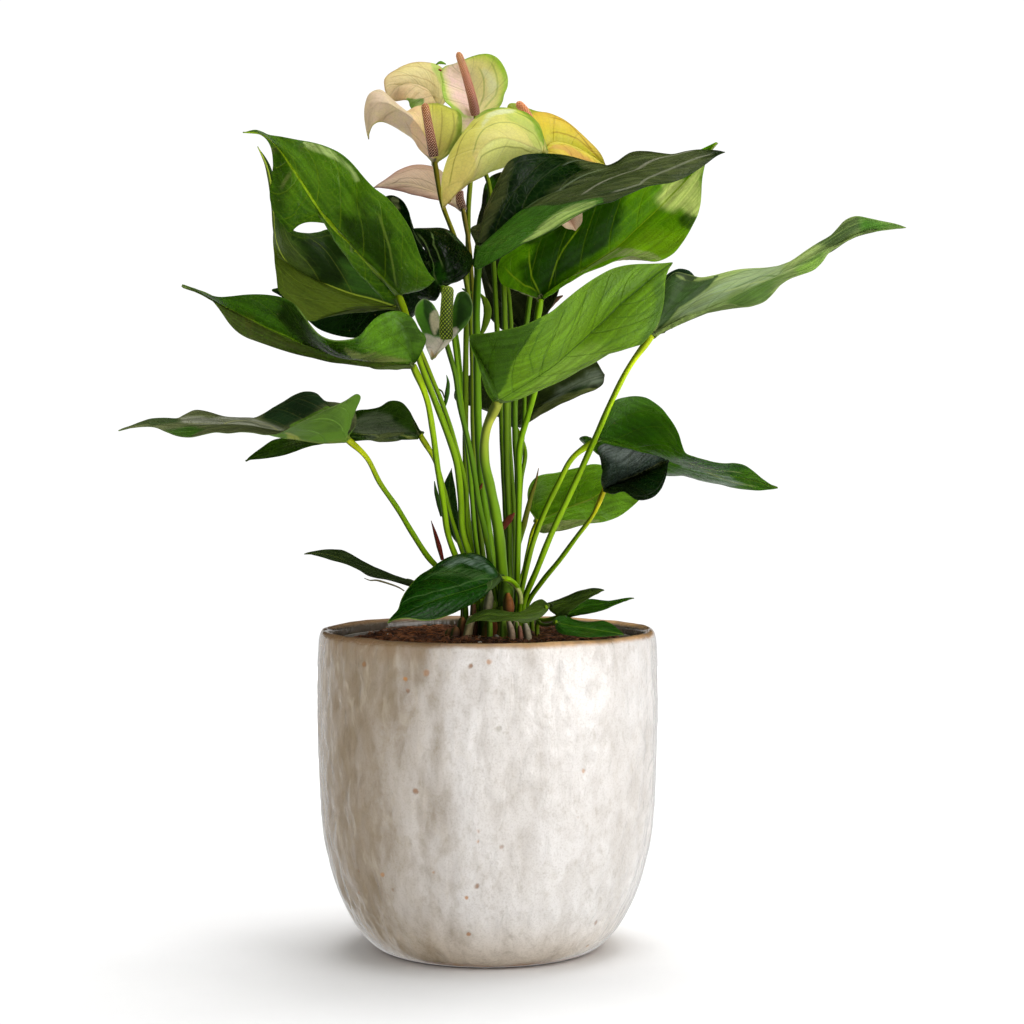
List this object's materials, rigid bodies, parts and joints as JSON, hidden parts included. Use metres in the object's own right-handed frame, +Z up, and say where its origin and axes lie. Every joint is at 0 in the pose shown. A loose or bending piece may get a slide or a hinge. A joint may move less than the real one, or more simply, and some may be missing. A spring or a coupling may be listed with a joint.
{
  "type": "potted flamingo flower",
  "caption": "Flamingo flower plant with heart-shaped leaves on long stalks, fading spathes and spadices, standing in a rounded glazed ceramic pot",
  "frame": {"origin": "centre of the flat underside of the glazed pot, on the surface it stands on", "axes": "+Z up along the pot axis, -Y the broad front of the plant, +X to the right of the front"},
  "size_m": [0.3792, 0.2014, 0.4504],
  "materials": {
    "pot_glaze": "gloss",
    "liner_plastic": "matte",
    "coir_mix": "matte",
    "crown_tissue": "matte",
    "leaf_bright": "satin",
    "leaf_dark": "gloss",
    "stalk_tissue": "satin",
    "spadix_tissue": "satin",
    "spathe_gold": "satin",
    "spathe_pink": "satin",
    "spathe_green": "satin"
  },
  "bodies": {
    "root": {"flower_1_spathe": "spathe_gold", "flower_1_stalk": "stalk_tissue", "flower_2_spadix": "spadix_tissue", "flower_2_spathe": "spathe_pink", "flower_2_stalk": "stalk_tissue", "flower_3_spadix": "spadix_tissue", "flower_3_spathe": "spathe_gold", "flower_3_stalk": "stalk_tissue", "flower_4_spathe": "spathe_green", "flower_4_stalk": "stalk_tissue", "flower_5_spadix": "spadix_tissue", "flower_5_spathe": "spathe_gold", "flower_5_stalk": "stalk_tissue", "flower_6_spadix": "spadix_tissue", "flower_6_spathe": "spathe_pink", "flower_6_stalk": "stalk_tissue", "flower_7": "spathe_pink", "flower_8_spadix": "spadix_tissue", "flower_8_spathe": "spathe_green", "flower_8_stalk": "stalk_tissue", "glazed_pot": "pot_glaze", "leaf_bright_back_blade": "leaf_bright", "leaf_bright_back_stalk": "stalk_tissue", "leaf_centre_curled": "leaf_dark", "leaf_front_blade": "leaf_bright", "leaf_front_stalk": "stalk_tissue", "leaf_hidden_behind_front": "leaf_dark", "leaf_hidden_behind_stalks": "leaf_dark", "leaf_hidden_left": "leaf_dark", "leaf_long_right_blade": "leaf_bright", "leaf_long_right_stalk": "stalk_tissue", "leaf_low_front_blade": "leaf_dark", "leaf_low_front_stalk": "stalk_tissue", "leaf_low_left_back_blade": "leaf_bright", "leaf_low_left_back_stalk": "stalk_tissue", "leaf_low_left_blade": "leaf_bright", "leaf_low_left_stalk": "stalk_tissue", "leaf_low_right_back_blade": "leaf_dark", "leaf_low_right_back_stalk": "stalk_tissue", "leaf_lower_right_blade": "leaf_bright", "leaf_lower_right_cup_blade": "leaf_dark", "leaf_lower_right_cup_stalk": "stalk_tissue", "leaf_lower_right_stalk": "stalk_tissue", "leaf_middle_left_blade": "leaf_bright", "leaf_middle_left_stalk": "stalk_tissue", "leaf_narrow_inner": "leaf_dark", "leaf_rim_left": "leaf_bright", "leaf_small_front": "leaf_bright", "leaf_small_right": "leaf_bright", "leaf_small_right_back": "leaf_bright", "leaf_small_right_front": "leaf_bright", "leaf_top_right_blade": "leaf_dark", "leaf_top_right_stalk": "stalk_tissue", "leaf_upper_left_back_blade": "leaf_dark", "leaf_upper_left_back_stalk": "stalk_tissue", "leaf_upper_left_blade": "leaf_bright", "leaf_upper_left_stalk": "stalk_tissue", "nursery_pot": "liner_plastic", "potting_soil": "coir_mix", "stem_base": "crown_tissue"}
  },
  "joints": []
}
